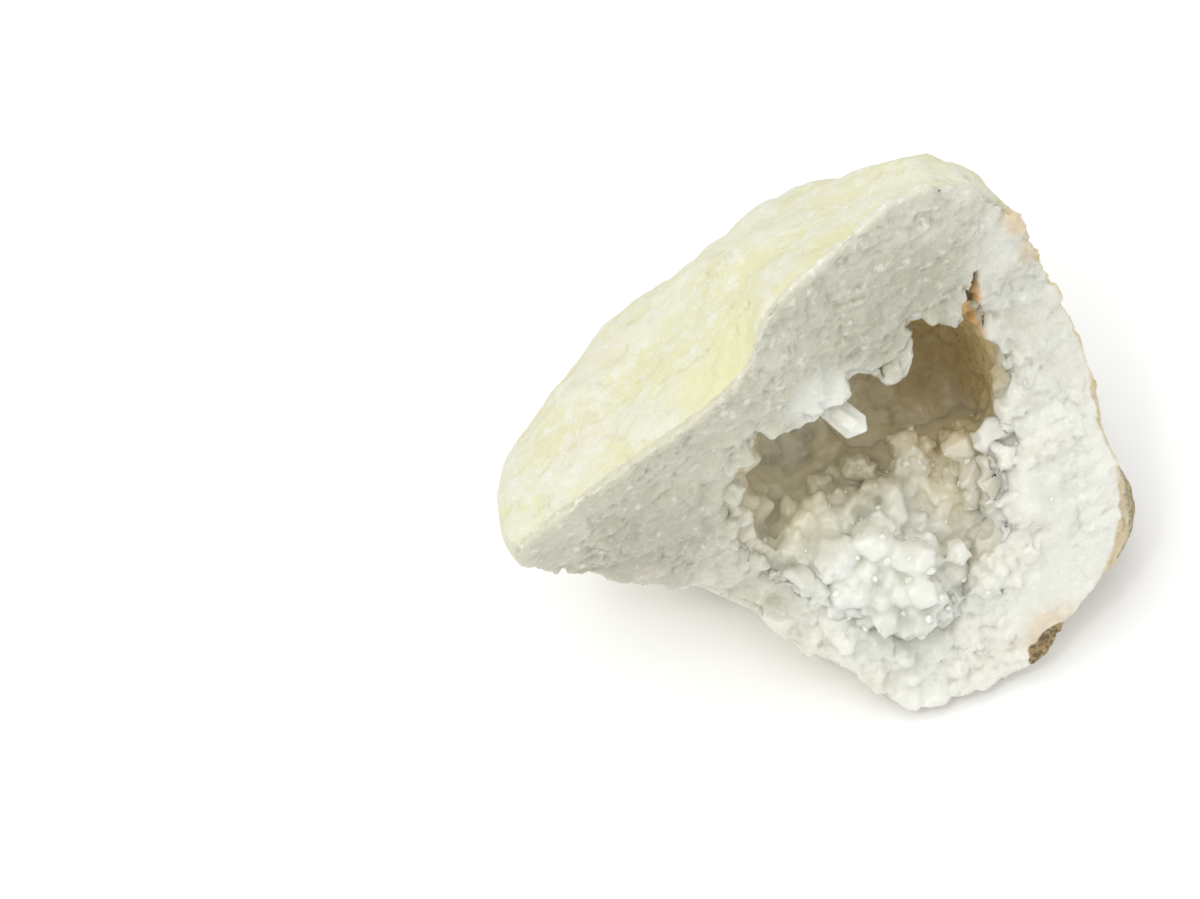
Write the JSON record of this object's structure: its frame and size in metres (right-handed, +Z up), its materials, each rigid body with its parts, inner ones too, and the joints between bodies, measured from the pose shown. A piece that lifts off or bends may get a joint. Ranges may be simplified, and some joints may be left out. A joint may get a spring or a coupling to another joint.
{
  "type": "geode half",
  "caption": "Broken half of a pale quartz geode: rough nodule wall with a deep open hollow lined by a crust of pointed crystals",
  "frame": {"origin": "middle of the flat face under the rock that the half rests on", "axes": "+Z up; +X along the widest way across the broken face; the hollow opens towards -Y and 30 degrees up"},
  "size_m": [0.0917, 0.0691, 0.0845],
  "materials": {
    "rock_wall": "rough cream rind outside, sugary white quartz where broken",
    "quartz_crystals": "glossy milky quartz crystals, stained tan deep in the hollow"
  },
  "bodies": {
    "root": {"geode_wall": "rock_wall", "crystal_crust": "quartz_crystals"}
  },
  "joints": []
}
